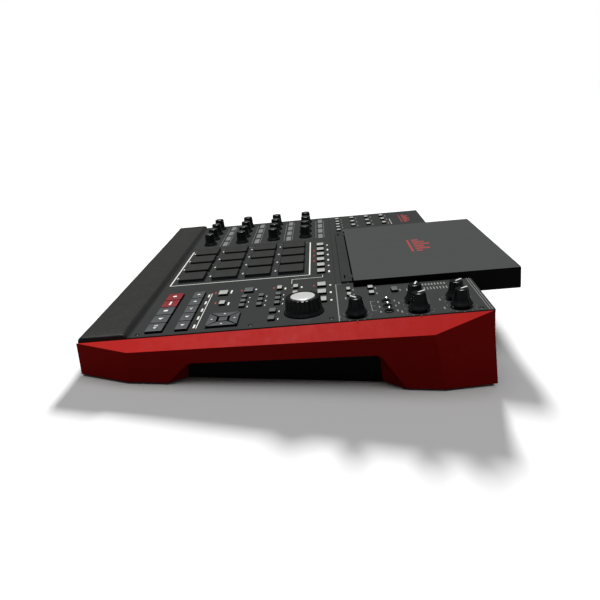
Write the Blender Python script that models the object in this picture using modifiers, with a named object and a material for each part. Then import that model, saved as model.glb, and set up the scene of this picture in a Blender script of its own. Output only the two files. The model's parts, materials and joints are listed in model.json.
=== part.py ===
"""Electronic drum pad: a desktop pad controller with a tilting display, 16 pads, 16 small
encoders, a data wheel, five pots, three toggles and silicone keypads, between two red cheeks.

Lengths below are in millimetres and are turned into metres where a mesh is made.
The control surface is a flat panel that slopes down to the front.  Its own frame has x to the
right, u from the panel's rear edge towards the player, and w up along the panel's normal.
"""
import math

import bmesh
import bpy
from mathutils import Matrix, Vector

MM = 0.001
GAP = 0.3                     # clearance between touching pieces

# ---------------------------------------------------------------- driving dimensions (mm)
SLOPE = math.radians(6.2)     # panel slope over the table
PANEL_HALF = 237.5            # half width of the panel, at the cheeks' inner faces
CHEEK = 15.0                  # thickness of a cheek outside the panel
RIDGE_HEIGHT = 74.9           # panel's rear edge over the table
FRONT_U = 381.5               # front end of the cheeks and the case, at the table
CHEEK_TIP = (380.6, -1.0)     # foremost point of a cheek's top edge
PLATE = 2.5                   # panel sheet
PLATE_REAR_U = -2.8
PLATE_FRONT_U = 333.0
FOOT_HEIGHT = 1.8

PALM_U = (333.6, 379.6)
PALM_W = (-8.0, 5.0)

DISPLAY_X = (-121.0, 131.0)
DISPLAY_U = (-58.0, 118.0)
DISPLAY_W = (-18.4, 4.6)
GLASS = 1.4                   # display glass thickness
BEZEL = 1.6                   # rim of the display shell around the glass
DISPLAY_EDGE = 1.2            # bevel of the display shell
RECESS_X = (-127.5, 140.5)
RECESS_FRONT_U = 118.9        # front wall of the display's recess
RECESS_U = 131.0              # front wall of the narrower bay of the hinge
RECESS_W = -20.5
RECESS_WALL = 1.5
HINGE_U = 124.0
HINGE_W = 0.0
BARREL_R = 3.0
ROD_R = 1.5
HINGE_X = (-115.0, 125.0)
HINGE_REAR_U = 119.3          # rear face of the hinge strip, clear of the turning display
HINGE_TOP = 2.8
LUGS_X = ((-104.0, -92.0), (102.0, 114.0))

PAD_SIZE = 30.3
PAD_PITCH = 38.93
PAD_X0 = 56.5                 # right column
PAD_U0 = 303.9                # front row
PAD_TOP = 4.2
PAD_BOTTOM = -6.0

LINK_PITCH_U = 45.4
LINK_PITCH_X = 33.77
LINK_X0 = -113.3
LINK_U0 = 309.0

POTS = ((225.5, 121.2), (225.0, 63.5), (224.0, 24.5), (200.0, 63.5), (200.0, 24.5))
WHEEL = (204.5, 170.0)
TOGGLES = ((192.5, 90.5), (207.0, 90.5), (221.0, 90.5))
TOGGLE_LEAN = math.radians(22.0)

KEY_TOP = 2.6
WEB_W = (-5.2, -3.6)          # silicone web under the panel sheet

TRANSPORT_X = [129.0 + 22.8 * k for k in range(5)]
COLUMN_U = 152.3
COLUMN_X = [-54.4 + 25.26 * k for k in range(6)] + [125.0, 150.0, 175.0]
SMALL_U = (233.5, 215.7, 197.8)
SMALL_X = (145.8, 159.8, 174.0)
CURSOR = (211.5, 247.0)       # centre of the cursor keys
CURSOR_HALF = (17.5, 15.0)
LEFT_GRID_U = (101.6, 79.1, 56.1)
LEFT_GRID_X = (-212.7, -186.4, -160.0)
LEFT_ROW_U = 124.5
LEFT_ROW_X = [-212.1 + 19.4 * k for k in range(5)]

# a key is (x, u, size across, size along)
RIGHT_KEYS = (
    [(x, 310.2, 21.2, 16.6) for x in TRANSPORT_X]
    + [(x, 284.3, 21.2, 12.2) for x in TRANSPORT_X]
    + [(126.9, 258.1, 13.5, 10.0), (124.3, 230.7, 13.5, 10.0), (160.7, 255.0, 11.0, 6.4)]
    + [(x, u, 8.4, 5.8) for u in SMALL_U for x in SMALL_X]
    + [(196.7, 200.7, 10.0, 6.8), (218.0, 200.8, 10.0, 6.8)]
    + [(124.6, 197.5, 11.0, 5.6), (124.2, 180.2, 11.0, 5.6), (147.3, 180.2, 11.0, 5.6)]
)
CENTRE_KEYS = (
    [(x, COLUMN_U, 13.0, 9.3) for x in COLUMN_X]
    + [(148.5, 124.9, 8.4, 4.4), (165.8, 124.9, 8.4, 4.4)]
    + [(148.5, 102.2, 8.4, 5.6), (165.8, 102.2, 8.4, 5.6), (160.8, 78.8, 12.5, 6.6)]
)
LEFT_KEYS = (
    [(x, u, 9.0, 6.0) for u in LEFT_GRID_U for x in LEFT_GRID_X]
    + [(x, LEFT_ROW_U, 8.0, 6.0) for x in LEFT_ROW_X]
)

# webs join the keys of one keypad: (x low, x high, u low, u high)
RIGHT_WEBS = ((116.0, 232.5, 193.5, 321.5), (116.0, 156.0, 175.0, 194.5))
CENTRE_WEBS = ((-63.0, 184.0, 145.5, 159.0), (143.2, 173.0, 73.5, 146.5))
LEFT_WEBS = ((-220.0, -129.9, 119.5, 129.5), (-220.0, -153.0, 51.0, 120.5))

SOCKET_W = -45.0
SOCKET_X = [-178.0 + 26.0 * k for k in range(8)]
DIN_X = (42.0, 72.0)
USB_X = (104.0, 130.0)
POWER_X = 176.0
BAY_X = (-196.0, 196.0)
BAY_W = (-55.0, -35.0)
BOARD_W = (-31.6, -30.0)
SOCKET_U = 9.0                # face of the sockets, recessed in the bay


# ---------------------------------------------------------------- scene helpers
def clear_scene():
    for item in list(bpy.data.objects):
        bpy.data.objects.remove(item, do_unlink=True)


def new_collection(name):
    collection = bpy.data.collections.new(name)
    bpy.context.scene.collection.children.link(collection)
    return collection


clear_scene()
PARTS = new_collection("electronic_drum_pad")
CUTTERS = new_collection("cutters")

PANEL_FRAME = bpy.data.objects.new("panel_frame", None)
PARTS.objects.link(PANEL_FRAME)


def table_w(u, height=0.0):
    """w of a point that lies height over the table, below panel position u."""
    return (height - RIDGE_HEIGHT + u * math.sin(SLOPE)) / math.cos(SLOPE)


def place_panel_frame():
    front = CHEEK_TIP[0] * math.cos(SLOPE) + CHEEK_TIP[1] * math.sin(SLOPE)
    rear = -DISPLAY_U[0] * math.cos(SLOPE) - (DISPLAY_W[0] + DISPLAY_EDGE) * math.sin(SLOPE)
    PANEL_FRAME.location = (0.0, (front - rear) / 2 * MM, RIDGE_HEIGHT * MM)
    PANEL_FRAME.rotation_euler = (SLOPE, 0.0, 0.0)


def material(name, colour, roughness, metallic=0.0):
    made = bpy.data.materials.new(name)
    made.use_nodes = True
    shader = made.node_tree.nodes["Principled BSDF"]
    shader.inputs["Base Color"].default_value = (*colour, 1.0)
    shader.inputs["Roughness"].default_value = roughness
    shader.inputs["Metallic"].default_value = metallic
    return made


def point(x, u, w):
    return Vector((x, -u, w)) * MM


def add_object(name, mesh, origin=(0.0, 0.0, 0.0), finish=None, cutter=False):
    """Link a mesh, placed in the panel frame at origin = (x, u, w)."""
    made = bpy.data.objects.new(name, mesh)
    (CUTTERS if cutter else PARTS).objects.link(made)
    made.parent = PANEL_FRAME
    made.location = point(*origin)
    if finish:
        made.data.materials.clear()
        made.data.materials.append(finish)
    if cutter:
        made.hide_render = True
        made.display_type = 'WIRE'
    return made


# ---------------------------------------------------------------- shape helpers
def add_box(bm, x, u, w):
    """Add a box to bm from its (low, high) ranges in x, u and w."""
    low = point(x[0], u[1], w[0])
    high = point(x[1], u[0], w[1])
    size = high - low
    matrix = Matrix.Translation((low + high) / 2) @ Matrix.Diagonal((*size, 1.0))
    bmesh.ops.create_cube(bm, size=1.0, matrix=matrix)


def add_cylinder(bm, x, u, w, radius, segments=16):
    """Add an upright cylinder between the two w values."""
    matrix = Matrix.Translation(point(x, u, (w[0] + w[1]) / 2))
    bmesh.ops.create_cone(bm, cap_ends=True, segments=segments, radius1=radius * MM,
                          radius2=radius * MM, depth=(w[1] - w[0]) * MM, matrix=matrix)


def add_cross_cylinder(bm, x, u, w, radius, segments=20):
    """Add a cylinder that lies along x."""
    turn = Matrix.Rotation(math.pi / 2, 4, 'Y')
    matrix = Matrix.Translation(point((x[0] + x[1]) / 2, u, w)) @ turn
    bmesh.ops.create_cone(bm, cap_ends=True, segments=segments, radius1=radius * MM,
                          radius2=radius * MM, depth=(x[1] - x[0]) * MM, matrix=matrix)


def add_bore(bm, x, w, radius, depth, segments=16):
    """Add a cylinder that runs level from the socket face into the housing."""
    turn = Matrix.Rotation(math.pi / 2 - SLOPE, 4, 'X')
    matrix = Matrix.Translation(point(x, SOCKET_U, w)) @ turn
    bmesh.ops.create_cone(bm, cap_ends=True, segments=segments, radius1=radius * MM,
                          radius2=radius * MM, depth=2 * depth * MM, matrix=matrix)


def add_slot(bm, x, w, size, depth):
    """Add a box that runs level from the socket face into the housing."""
    turn = Matrix.Rotation(-SLOPE, 4, 'X')
    matrix = Matrix.Translation(point(x, SOCKET_U, w)) @ turn
    scale = Matrix.Diagonal((size[0] * MM, 2 * depth * MM, size[1] * MM, 1.0))
    bmesh.ops.create_cube(bm, size=1.0, matrix=matrix @ scale)


def to_mesh(bm, name):
    mesh = bpy.data.meshes.new(name)
    bm.to_mesh(mesh)
    bm.free()
    return mesh


def built(name, shapes, finish=None, cutter=False, origin=(0.0, 0.0, 0.0)):
    """Make an object from a list of (function, arguments) shapes."""
    bm = bmesh.new()
    for function, arguments in shapes:
        function(bm, *arguments)
    return add_object(name, to_mesh(bm, name), origin, finish, cutter)


def side_profile(name, outline, x, finish=None, cutter=False):
    """Extrude a closed outline of (u, w) points between two x values."""
    curve = bpy.data.curves.new(name + "_curve", 'CURVE')
    curve.dimensions = '2D'
    curve.fill_mode = 'BOTH'
    curve.extrude = (x[1] - x[0]) / 2 * MM
    spline = curve.splines.new('POLY')
    spline.points.add(len(outline) - 1)
    for target, (u, w) in zip(spline.points, outline):
        target.co = (-u * MM, w * MM, 0.0, 1.0)
    spline.use_cyclic_u = True
    guide = bpy.data.objects.new(name + "_guide", curve)
    bpy.context.scene.collection.objects.link(guide)
    depsgraph = bpy.context.evaluated_depsgraph_get()
    mesh = bpy.data.meshes.new_from_object(guide.evaluated_get(depsgraph))
    bpy.data.objects.remove(guide, do_unlink=True)
    stand = Matrix(((0, 0, 1, 0), (1, 0, 0, 0), (0, 1, 0, 0), (0, 0, 0, 1)))
    bm = bmesh.new()
    bm.from_mesh(mesh)
    bmesh.ops.remove_doubles(bm, verts=bm.verts, dist=1e-6)
    bmesh.ops.transform(bm, matrix=stand, verts=bm.verts)
    bmesh.ops.recalc_face_normals(bm, faces=bm.faces)
    bpy.data.meshes.remove(mesh)
    return add_object(name, to_mesh(bm, name), ((x[0] + x[1]) / 2, 0.0, 0.0), finish, cutter)


def boolean(target, other, operation):
    modifier = target.modifiers.new(operation.lower(), 'BOOLEAN')
    modifier.operation = operation
    modifier.solver = 'EXACT'
    modifier.object = other


def cut(target, other):
    boolean(target, other, 'DIFFERENCE')


def join(target, other):
    boolean(target, other, 'UNION')


def bevel(target, width, segments=1, angle=50.0):
    modifier = target.modifiers.new("bevel", 'BEVEL')
    modifier.width = width * MM
    modifier.segments = segments
    modifier.limit_method = 'ANGLE'
    modifier.angle_limit = math.radians(angle)


def turned_mesh(name, profile, steps, finish):
    """Spin a profile of (radius, w) points, listed from top to bottom, into a solid."""
    bm = bmesh.new()
    ring = [bm.verts.new((radius * MM, 0.0, w * MM)) for radius, w in profile]
    for first, second in zip(ring, ring[1:]):
        bm.edges.new((first, second))
    lathe = add_object(name + "_profile", to_mesh(bm, name), cutter=True)
    modifier = lathe.modifiers.new("screw", 'SCREW')
    modifier.steps = steps
    modifier.render_steps = steps
    modifier.use_merge_vertices = True
    modifier.merge_threshold = 1e-6
    modifier.use_smooth_shade = True
    depsgraph = bpy.context.evaluated_depsgraph_get()
    mesh = bpy.data.meshes.new_from_object(lathe.evaluated_get(depsgraph))
    bpy.data.objects.remove(lathe, do_unlink=True)
    mesh.name = name
    mesh.set_sharp_from_angle(angle=math.radians(40))
    mesh.materials.clear()
    mesh.materials.append(finish)
    return mesh


# ---------------------------------------------------------------- materials
RED = material("red_moulded_plastic", (0.46, 0.02, 0.02), 0.42)
BLACK = material("black_moulded_plastic", (0.012, 0.012, 0.013), 0.5)
CHARCOAL = material("charcoal_painted_metal", (0.055, 0.058, 0.056), 0.5)
LEATHERETTE = material("black_leatherette", (0.03, 0.03, 0.026), 0.6)
SLATE = material("display_plastic", (0.085, 0.087, 0.087), 0.45)
GLASSY = material("display_glass_black", (0.07, 0.072, 0.074), 0.2)
PAD_RUBBER = material("pad_silicone", (0.055, 0.055, 0.055), 0.62)
KEY_RUBBER = material("key_silicone", (0.16, 0.17, 0.17), 0.5)
KNOB = material("knob_plastic", (0.01, 0.011, 0.012), 0.3)
SILVER = material("silver_cap", (0.75, 0.75, 0.75), 0.35, 0.4)
STEEL = material("steel", (0.55, 0.55, 0.56), 0.3, 1.0)
RUBBER = material("foot_rubber", (0.015, 0.015, 0.015), 0.8)
BOARD = material("circuit_board", (0.02, 0.12, 0.05), 0.5)


# ---------------------------------------------------------------- cheeks and feet
CHEEK_FOOT = 2.1              # underside of a cheek over the table
OUTER_TOP = ((331.0, -8.3), (54.0, -14.2))    # lower edge of the top chamfer: front, rear
ARC_STEPS = 4


def rounded(corner, before, after, radius):
    """Points of an arc that rounds an outline's corner."""
    corner = Vector(corner)
    into = (Vector(before) - corner).normalized()
    out = (Vector(after) - corner).normalized()
    half = into.angle(out) / 2
    reach = radius / math.tan(half)
    centre = corner + (into + out).normalized() * radius / math.sin(half)
    start = corner + into * reach - centre
    end = corner + out * reach - centre
    sweep = start.angle(end)
    points = []
    for step in range(ARC_STEPS + 1):
        share = step / ARC_STEPS
        lead = math.sin((1 - share) * sweep) / math.sin(sweep)
        trail = math.sin(share * sweep) / math.sin(sweep)
        points.append(tuple(centre + start * lead + end * trail))
    return points


def cheek_outline(top_front, top_rear, rear_u, foot_rear_u, recess, foot_front_u, front_u, radius):
    """Outline of one cheek face, from the front of its top edge round to its front foot."""
    low = [(u, table_w(u, CHEEK_FOOT)) for u in (rear_u, foot_rear_u, foot_front_u, front_u)]
    rear_arc = rounded(recess[1], low[1], recess[0], radius)
    front_arc = rounded(recess[0], recess[1], low[2], radius)
    return [top_front, top_rear, low[0], low[1], *rear_arc, *front_arc, low[2], low[3]]


def add_cheek(name, side):
    """Loft the cheek between its inner outline and its smaller outer outline."""
    inner_x = PANEL_HALF + GAP
    outer_x = PANEL_HALF + CHEEK
    inner = cheek_outline(CHEEK_TIP, (-1.4, -1.0), -5.2, 101.5,
                          ((280.0, -27.0), (103.0, -35.0)), 281.5, FRONT_U, 8.0)
    outer = cheek_outline(*OUTER_TOP, 45.2, 81.1,
                          ((276.9, -23.1), (103.4, -29.8)), 298.1, 334.7, 9.0)
    bm = bmesh.new()
    loops = []
    for outline, x in ((inner, inner_x), (outer, outer_x)):
        loops.append([bm.verts.new(point(side * x, u, w)) for u, w in outline])
    count = len(inner)
    for k in range(count):
        after = (k + 1) % count
        bm.faces.new((loops[0][k], loops[0][after], loops[1][after], loops[1][k]))
    bm.faces.new(loops[0])
    bm.faces.new(loops[1])
    bmesh.ops.triangulate(bm, faces=bm.faces)
    bmesh.ops.recalc_face_normals(bm, faces=bm.faces)
    return add_object(name, to_mesh(bm, name), finish=RED)


def add_foot(name, side, u):
    """A rubber strip under the flat of a cheek foot, upright on the table."""
    foot = built(name, [], RUBBER)
    bm = bmesh.new()
    centre = PANEL_FRAME.matrix_world @ point(side * (PANEL_HALF + 6.4), u, 0.0)
    spot = Vector((centre.x, centre.y, FOOT_HEIGHT / 2 * MM))
    size = Matrix.Diagonal((9.0 * MM, 26.0 * MM, FOOT_HEIGHT * MM, 1.0))
    into_panel = PANEL_FRAME.matrix_world.inverted()
    bmesh.ops.create_cube(bm, size=1.0, matrix=into_panel @ Matrix.Translation(spot) @ size)
    bm.to_mesh(foot.data)
    bm.free()


# ---------------------------------------------------------------- case, panel and palm rest
def add_bottom_case():
    half = PANEL_HALF - GAP
    wall = 2.5
    clearance = 1.1           # underside over the table
    rear = 0.2
    step = PALM_U[0] - GAP
    top = -PLATE - GAP
    under_palm = PALM_W[0] - GAP
    outline = [(FRONT_U - 1.5, under_palm), (step, under_palm), (step, top), (rear, top),
               (rear, table_w(rear, clearance)), (FRONT_U - 0.5, table_w(FRONT_U, clearance))]
    case = side_profile("bottom_case", outline, (-half, half), BLACK)
    floor = clearance + wall
    hollow = [(FRONT_U - 4.5, 10.0), (-20.0, 10.0), (-20.0, table_w(-20.0, floor)),
              (FRONT_U - 4.5, table_w(FRONT_U - 4.5, floor))]
    cut(case, side_profile("case_hollow", hollow, (-half + wall, half - wall), cutter=True))


def key_hole(key):
    x, u, across, along = key
    return (add_box, ((x - across / 2 - GAP, x + across / 2 + GAP),
                      (u - along / 2 - GAP, u + along / 2 + GAP), (-10.0, 5.0)))


def pad_places():
    for row in range(4):
        for column in range(4):
            yield row, column, PAD_X0 - PAD_PITCH * (3 - column), PAD_U0 - PAD_PITCH * row


def link_places():
    for row in range(4):
        for column in range(4):
            yield row, column, LINK_X0 - LINK_PITCH_X * (3 - column), LINK_U0 - LINK_PITCH_U * row


def add_top_panel():
    """Panel sheet with the display's recess tub, and holes for every control."""
    half = PANEL_HALF - GAP
    panel = built("top_panel", [
        (add_box, ((-half, half), (PLATE_REAR_U, PLATE_FRONT_U), (-PLATE, 0.0)))], CHARCOAL)
    bay_x = (HINGE_X[0] - GAP, HINGE_X[1] + GAP)
    for name, x, front in (("recess", RECESS_X, RECESS_FRONT_U), ("hinge_bay", bay_x, RECESS_U)):
        outside = (x[0] - RECESS_WALL, x[1] + RECESS_WALL)
        join(panel, built(name + "_tub", [
            (add_box, (outside, (0.3, front + RECESS_WALL), (RECESS_W - RECESS_WALL, -0.8)))],
            cutter=True))
    for name, x, front in (("recess", RECESS_X, RECESS_FRONT_U), ("hinge_bay", bay_x, RECESS_U)):
        cut(panel, built(name + "_room", [
            (add_box, (x, (-20.0, front), (RECESS_W, 20.0)))], cutter=True))
    holes = [key_hole(key) for key in RIGHT_KEYS + CENTRE_KEYS + LEFT_KEYS]
    cursor_key = (CURSOR[0], CURSOR[1], 2 * CURSOR_HALF[0], 2 * CURSOR_HALF[1])
    holes.append(key_hole(cursor_key))
    holes += [key_hole((x, u, PAD_SIZE, PAD_SIZE)) for _, _, x, u in pad_places()]
    holes += [(add_cylinder, (x, u, (-10.0, 5.0), 3.4, 12)) for _, _, x, u in link_places()]
    holes += [(add_cylinder, (x, u, (-10.0, 5.0), 3.9, 12)) for x, u in POTS]
    holes += [(add_cylinder, (*WHEEL, (-10.0, 5.0), 4.4, 16))]
    holes += [(add_cylinder, (x, u, (-10.0, 5.0), 3.0, 12)) for x, u in TOGGLES]
    cut(panel, built("panel_holes", holes, cutter=True))


def add_palm_rest():
    half = PANEL_HALF - GAP
    rest = built("palm_rest", [(add_box, ((-half, half), PALM_U, PALM_W))], LEATHERETTE)
    bevel(rest, 4.0, 3)


def add_rear_panel():
    half = PANEL_HALF - GAP
    top = -PLATE - GAP
    plate = built("rear_panel", [
        (add_box, ((-half, half), (-2.6, -0.1), (table_w(0.0, 2.4), top)))], BLACK)
    notch_x = (RECESS_X[0] - RECESS_WALL - GAP, RECESS_X[1] + RECESS_WALL + GAP)
    openings = [(add_box, (notch_x, (-10.0, 10.0), (RECESS_W - RECESS_WALL - GAP, 5.0))),
                (add_box, (BAY_X, (-10.0, 10.0), BAY_W))]
    cut(plate, built("rear_openings", openings, cutter=True))


# ---------------------------------------------------------------- display
def knuckle(x):
    """Barrel around the hinge rod over a range of x."""
    return (add_cross_cylinder, (x, HINGE_U, HINGE_W, BARREL_R, 16))


def rod_bore(name):
    ends = (HINGE_X[0] - 5.0, HINGE_X[1] + 5.0)
    return built(name, [(add_cross_cylinder, (ends, HINGE_U, HINGE_W, ROD_R + GAP, 12))],
                 cutter=True)


def on_hinge(made):
    """Move an object's origin to the hinge axis."""
    shift = point(0.0, HINGE_U, HINGE_W)
    made.data.transform(Matrix.Translation(-shift))
    made.location = shift


def add_display():
    shell = built("display_shell", [(add_box, (DISPLAY_X, DISPLAY_U, DISPLAY_W))], SLATE)
    bevel(shell, DISPLAY_EDGE, 2)
    bridges = [(add_box, (x, (DISPLAY_U[1] - 2.0, HINGE_U), (-BARREL_R, BARREL_R)))
               for x in LUGS_X]
    join(shell, built("display_bridges", bridges, cutter=True))
    join(shell, built("display_knuckles", [knuckle(x) for x in LUGS_X], cutter=True))
    cut(shell, rod_bore("display_bore"))
    top = DISPLAY_W[1]
    pocket = ((DISPLAY_X[0] + BEZEL, DISPLAY_X[1] - BEZEL),
              (DISPLAY_U[0] + BEZEL, DISPLAY_U[1] - BEZEL), (top - GLASS - GAP, top + 5.0))
    cut(shell, built("display_pocket", [(add_box, pocket)], cutter=True))
    glass = built("display_glass", [
        (add_box, ((pocket[0][0] + GAP, pocket[0][1] - GAP),
                   (pocket[1][0] + GAP, pocket[1][1] - GAP), (top - GLASS, top)))], GLASSY)
    on_hinge(shell)
    on_hinge(glass)


def add_hinge():
    """Fixed half of the display hinge: a flat strip, notched for the lugs, with the rod through it."""
    cover = built("hinge_cover", [
        (add_box, (HINGE_X, (HINGE_REAR_U, RECESS_U - GAP), (RECESS_W + GAP, HINGE_TOP)))], CHARCOAL)
    clearance = 2 * GAP
    notches = [(add_box, ((x[0] - GAP, x[1] + GAP), (100.0, HINGE_U + BARREL_R + clearance),
                          (-BARREL_R - clearance, 10.0))) for x in LUGS_X]
    cut(cover, built("hinge_notches", notches, cutter=True))
    cut(cover, rod_bore("hinge_bore"))
    built("hinge_rod", [
        (add_cross_cylinder, ((HINGE_X[0] + 1.0, HINGE_X[1] - 1.0), HINGE_U, HINGE_W, ROD_R, 10))],
        STEEL)


# ---------------------------------------------------------------- controls
def add_pads():
    bm = bmesh.new()
    half = PAD_SIZE / 2
    add_box(bm, (-half, half), (-half, half), (PAD_BOTTOM, PAD_TOP))
    mesh = to_mesh(bm, "pad")
    for row, column, x, u in pad_places():
        pad = add_object(f"pad_r{row + 1}c{column + 1}", mesh, (x, u, 0.0), PAD_RUBBER)
        bevel(pad, 1.0, 2)


def add_link_knobs():
    profile = [(0.0, 16.4), (5.0, 16.4), (5.8, 15.4), (6.6, 5.0), (8.8, 2.2), (9.0, 0.7),
               (3.0, 0.7), (3.0, -9.0), (0.0, -9.0)]
    mesh = turned_mesh("link_knob", profile, 16, KNOB)
    for row, column, x, u in link_places():
        add_object(f"link_knob_r{row + 1}c{column + 1}", mesh, (x, u, 0.0))


def add_pots():
    profile = [(0.0, 17.9), (5.6, 17.9), (6.2, 17.0), (7.6, 8.6), (9.9, 4.6), (10.3, 3.2),
               (7.3, 2.8), (7.3, 0.7), (3.4, 0.7), (3.4, -9.0), (0.0, -9.0)]
    mesh = turned_mesh("pot_knob", profile, 20, KNOB)
    for number, (x, u) in enumerate(POTS, start=1):
        add_object(f"pot_knob_{number}", mesh, (x, u, 0.0))


def add_data_wheel():
    profile = [(0.0, 15.0), (11.9, 15.0), (12.3, 16.0), (16.4, 15.8), (17.0, 15.0), (17.6, 4.0),
               (19.3, 1.8), (19.5, 0.7), (4.0, 0.7), (4.0, -9.0), (0.0, -9.0)]
    add_object("data_wheel", turned_mesh("data_wheel", profile, 32, KNOB), (*WHEEL, 0.0))
    cap = [(0.0, 16.6), (10.6, 16.4), (11.6, 15.9), (11.6, 15.3), (0.0, 15.3)]
    add_object("data_wheel_cap", turned_mesh("data_wheel_cap", cap, 32, SILVER), (*WHEEL, 0.0))


def add_toggles():
    """Lever switches: a tapered lever on a pivot just under the panel, leaning outwards."""
    profile = [(0.0, 8.6), (1.3, 8.2), (1.7, 7.2), (1.1, 1.0), (1.6, -2.0), (1.6, -4.0),
               (0.0, -4.0)]
    mesh = turned_mesh("toggle_lever", profile, 12, STEEL)
    for number, (x, u) in enumerate(TOGGLES, start=1):
        lever = add_object(f"toggle_lever_{number}", mesh, (x, u, -2.0))
        lever.rotation_euler = (0.0, TOGGLE_LEAN, 0.0)


def cursor_keys():
    """Four wedge keys around a centre key, as one cutter for the keypad."""
    across, along = CURSOR_HALF
    inner = (6.4, 5.2)
    slit = 0.9
    bm = bmesh.new()
    top = KEY_TOP
    for turn in range(4):
        wide, deep = (across, along) if turn % 2 == 0 else (along, across)
        near, far = (inner[0], inner[1]) if turn % 2 == 0 else (inner[1], inner[0])
        corners = [(-wide + slit, deep), (wide - slit, deep), (near, far + slit),
                   (-near, far + slit)]
        spin = Matrix.Rotation(turn * math.pi / 2, 2)
        low = []
        high = []
        for corner in corners:
            spot = spin @ Vector(corner)
            low.append(bm.verts.new(point(CURSOR[0] + spot.x, CURSOR[1] + spot.y, WEB_W[0] + 0.5)))
            high.append(bm.verts.new(point(CURSOR[0] + spot.x, CURSOR[1] + spot.y, top)))
        bm.faces.new(low)
        bm.faces.new(high)
        for k in range(4):
            after = (k + 1) % 4
            bm.faces.new((low[k], low[after], high[after], high[k]))
    add_box(bm, (CURSOR[0] - inner[0] + slit, CURSOR[0] + inner[0] - slit),
            (CURSOR[1] - inner[1] + slit, CURSOR[1] + inner[1] - slit), (WEB_W[0] + 0.5, top))
    bmesh.ops.recalc_face_normals(bm, faces=bm.faces)
    return add_object("cursor_keys", to_mesh(bm, "cursor_keys"), cutter=True)


def add_keypad(name, keys, webs):
    """One silicone piece: keys that rise through the panel from a common web."""
    first, second = [(add_box, ((x0, x1), (u0, u1), WEB_W)) for x0, x1, u0, u1 in webs]
    keypad = built(name, [first], KEY_RUBBER)
    join(keypad, built(name + "_web", [second], cutter=True))
    caps = [(add_box, ((x - across / 2, x + across / 2), (u - along / 2, u + along / 2),
                       (WEB_W[0] + 0.5, KEY_TOP))) for x, u, across, along in keys]
    join(keypad, built(name + "_keys", caps, cutter=True))
    return keypad


def add_keypads():
    right = add_keypad("right_keypad", RIGHT_KEYS, RIGHT_WEBS)
    join(right, cursor_keys())
    add_keypad("centre_keypad", CENTRE_KEYS, CENTRE_WEBS)
    add_keypad("left_keypad", LEFT_KEYS, LEFT_WEBS)


# ---------------------------------------------------------------- inside
def add_main_board():
    """Circuit board with the socket bodies under its rear edge, seen in the connector bay."""
    board = built("main_board", [(add_box, ((-215.0, 215.0), (SOCKET_U + 0.5, 300.0), BOARD_W))], BOARD)
    block = (add_box, ((BAY_X[0] + 4.0, BAY_X[1] - 4.0), (SOCKET_U, 30.0),
                       (BAY_W[0] + 2.0, BOARD_W[0] + 0.8)))
    join(board, built("socket_block", [block], cutter=True))
    bores = [(add_bore, (x, SOCKET_W, 3.4, 17.0, 16)) for x in SOCKET_X]
    bores += [(add_bore, (x, SOCKET_W, 7.0, 8.0, 16)) for x in DIN_X]
    bores += [(add_slot, (x, SOCKET_W, (12.4, 5.4), 11.0)) for x in USB_X]
    bores += [(add_bore, (POWER_X, SOCKET_W, 4.0, 11.0, 16))]
    cut(board, built("socket_bores", bores, cutter=True))


# ---------------------------------------------------------------- assembly
place_panel_frame()
bpy.context.view_layer.update()
add_cheek("right_cheek", 1)
add_cheek("left_cheek", -1)
for foot_name, foot_side, foot_u in (("foot_front_right", 1, 313.0), ("foot_front_left", -1, 313.0),
                                     ("foot_rear_right", 1, 63.5), ("foot_rear_left", -1, 63.5)):
    add_foot(foot_name, foot_side, foot_u)
add_bottom_case()
add_top_panel()
add_palm_rest()
add_rear_panel()
add_display()
add_hinge()
add_pads()
add_link_knobs()
add_pots()
add_data_wheel()
add_toggles()
add_keypads()
add_main_board()
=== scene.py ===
"""Looks of the electronic drum pad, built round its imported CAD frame.

Lengths are in millimetres in the panel's own frame: x to the player's right, u from the panel's
rear edge towards the player, w up along the panel's normal.  spot() turns them into the row frame.
"""
import json
import math

import bpy
import bmesh
from mathutils import Matrix, Vector

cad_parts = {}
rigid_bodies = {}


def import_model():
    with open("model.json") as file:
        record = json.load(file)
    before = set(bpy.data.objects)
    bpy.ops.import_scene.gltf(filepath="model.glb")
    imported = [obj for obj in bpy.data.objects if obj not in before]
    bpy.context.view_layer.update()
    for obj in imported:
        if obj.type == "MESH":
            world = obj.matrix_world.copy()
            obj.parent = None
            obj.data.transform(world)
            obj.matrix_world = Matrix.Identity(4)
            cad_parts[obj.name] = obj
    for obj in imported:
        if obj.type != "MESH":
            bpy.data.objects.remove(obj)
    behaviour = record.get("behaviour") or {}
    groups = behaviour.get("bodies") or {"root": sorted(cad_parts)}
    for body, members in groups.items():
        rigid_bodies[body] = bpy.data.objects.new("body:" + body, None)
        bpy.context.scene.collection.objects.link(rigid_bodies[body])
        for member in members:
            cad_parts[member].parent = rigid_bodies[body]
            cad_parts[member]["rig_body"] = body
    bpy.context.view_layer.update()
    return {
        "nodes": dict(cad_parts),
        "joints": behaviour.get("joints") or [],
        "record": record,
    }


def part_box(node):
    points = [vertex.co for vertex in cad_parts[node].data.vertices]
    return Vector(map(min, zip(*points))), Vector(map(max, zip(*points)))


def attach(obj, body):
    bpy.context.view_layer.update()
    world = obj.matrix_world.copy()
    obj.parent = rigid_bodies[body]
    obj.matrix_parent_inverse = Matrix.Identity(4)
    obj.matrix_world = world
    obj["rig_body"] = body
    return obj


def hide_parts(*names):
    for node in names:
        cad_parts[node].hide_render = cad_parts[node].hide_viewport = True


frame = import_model()
MM = 0.001

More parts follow.
